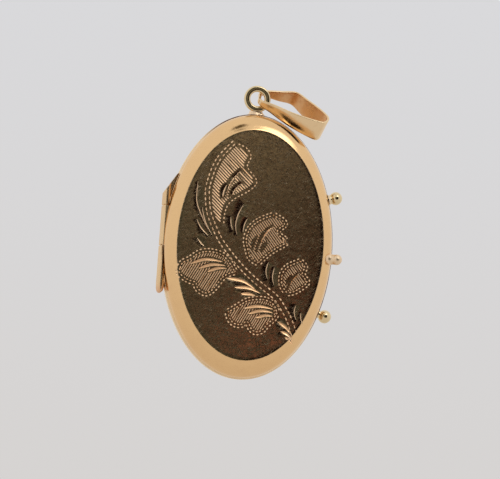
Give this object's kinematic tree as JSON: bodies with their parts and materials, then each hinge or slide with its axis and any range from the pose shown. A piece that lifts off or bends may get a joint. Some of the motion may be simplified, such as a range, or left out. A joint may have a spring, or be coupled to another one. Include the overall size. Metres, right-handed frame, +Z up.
{
  "type": "locket",
  "caption": "Oval gold picture locket with an engraved front; both covers hinge open from a centre picture frame, and a tapered bail hangs in its top ring.",
  "frame": {"origin": "centre of the back cover's flat outer face, the face it lies on", "axes": "+Z up towards the hanging ring, -Y out of the engraved front, +X towards the thumb knobs and away from the hinges"},
  "size_m": [0.0234, 0.0063, 0.038],
  "materials": {
    "cover_gold": "polished, worn and lightly scratched, engraved on the front",
    "polished_gold": "polished",
    "pale_gold": "polished",
    "hinge_gold": "worn",
    "divider_gold": "unpolished sheet",
    "clear_window": "clear",
    "picture_card": "matt, blank"
  },
  "bodies": {
    "frame": {"back_hinge_lower_knuckle": "hinge_gold", "back_hinge_pin": "hinge_gold", "back_hinge_upper_knuckle": "hinge_gold", "frame_back_card": "picture_card", "frame_back_retaining_rim": "pale_gold", "frame_back_window": "clear_window", "frame_band": "pale_gold", "frame_catch_back": "pale_gold", "frame_catch_front": "pale_gold", "frame_divider": "divider_gold", "frame_front_card": "picture_card", "frame_front_retaining_rim": "pale_gold", "frame_front_window": "clear_window", "frame_knob": "polished_gold", "frame_ring": "polished_gold", "frame_ring_foot": "pale_gold", "front_hinge_lower_knuckle": "hinge_gold", "front_hinge_pin": "hinge_gold", "front_hinge_upper_knuckle": "hinge_gold"},
    "front_cover": {"front_card": "picture_card", "front_hinge_cover_knuckle": "hinge_gold", "front_knob": "polished_gold", "front_retaining_rim": "pale_gold", "front_seat_ring": "pale_gold", "front_shell": "cover_gold", "front_window": "clear_window"},
    "back_cover": {"back_card": "picture_card", "back_hinge_cover_knuckle": "hinge_gold", "back_knob": "polished_gold", "back_retaining_rim": "pale_gold", "back_seat_ring": "pale_gold", "back_shell": "cover_gold", "back_window": "clear_window"},
    "bail": {"bail_loop": "pale_gold"}
  },
  "joints": [
    {"name": "front_cover_hinge", "type": "hinge", "parent": "frame", "child": "front_cover", "pos_m": [-0.01085, -0.00348, 0], "axis": [0, 0, -1], "range_deg": [0, 120]},
    {"name": "back_cover_hinge", "type": "hinge", "parent": "frame", "child": "back_cover", "pos_m": [-0.01085, -0.00228, 0], "axis": [0, 0, 1], "range_deg": [0, 120]},
    {"name": "bail_swing", "type": "hinge", "parent": "frame", "child": "bail", "pos_m": [0, -0.00288, 0.01918], "axis": [0, -1, 0], "range_deg": [0, 195]}
  ]
}
